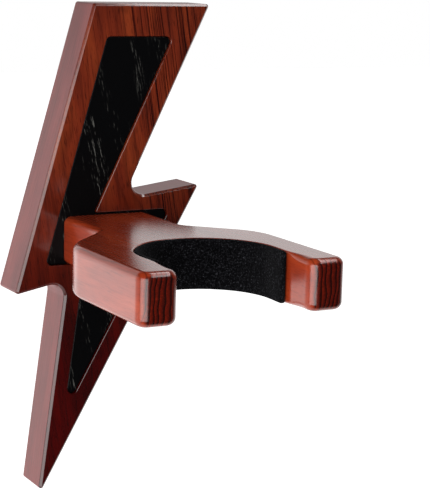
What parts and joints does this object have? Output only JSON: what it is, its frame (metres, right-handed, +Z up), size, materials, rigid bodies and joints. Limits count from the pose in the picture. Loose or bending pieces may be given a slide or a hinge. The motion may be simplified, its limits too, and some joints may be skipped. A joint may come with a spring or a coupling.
{
  "type": "wall guitar hanger",
  "caption": "Wooden wall hanger with a lightning-bolt back plate, a black inlay and a felt-lined U-shaped yoke that holds a guitar by its neck.",
  "frame": {"origin": "on the wall plane, which is the back plate's rear face, straight behind the middle of the yoke's stem", "axes": "+Z up, +X to the right as seen from the room, +Y into the wall"},
  "size_m": [0.0987, 0.1518, 0.226],
  "materials": {
    "stained_wood": "dark red stain under clear gloss",
    "black_wood": "black stain, satin, open pores",
    "felt": "black wool felt",
    "black_steel": "black oxide",
    "zinc_steel": "zinc plated",
    "brass": "plain machined",
    "beech": "bare"
  },
  "bodies": {
    "root": {"back_plate": "stained_wood", "inlay_panel": "black_wood", "yoke": "stained_wood", "felt_liner": "felt", "yoke_bolt_left": "black_steel", "yoke_washer_left": "zinc_steel", "yoke_insert_left": "brass", "yoke_bolt_right": "black_steel", "yoke_washer_right": "zinc_steel", "yoke_insert_right": "brass", "yoke_dowel_upper": "beech", "yoke_dowel_lower": "beech", "hanger_plate_upper": "zinc_steel", "hanger_screw_upper_top": "zinc_steel", "hanger_screw_upper_bottom": "zinc_steel", "hanger_plate_lower": "zinc_steel", "hanger_screw_lower_top": "zinc_steel", "hanger_screw_lower_bottom": "zinc_steel"}
  },
  "joints": []
}
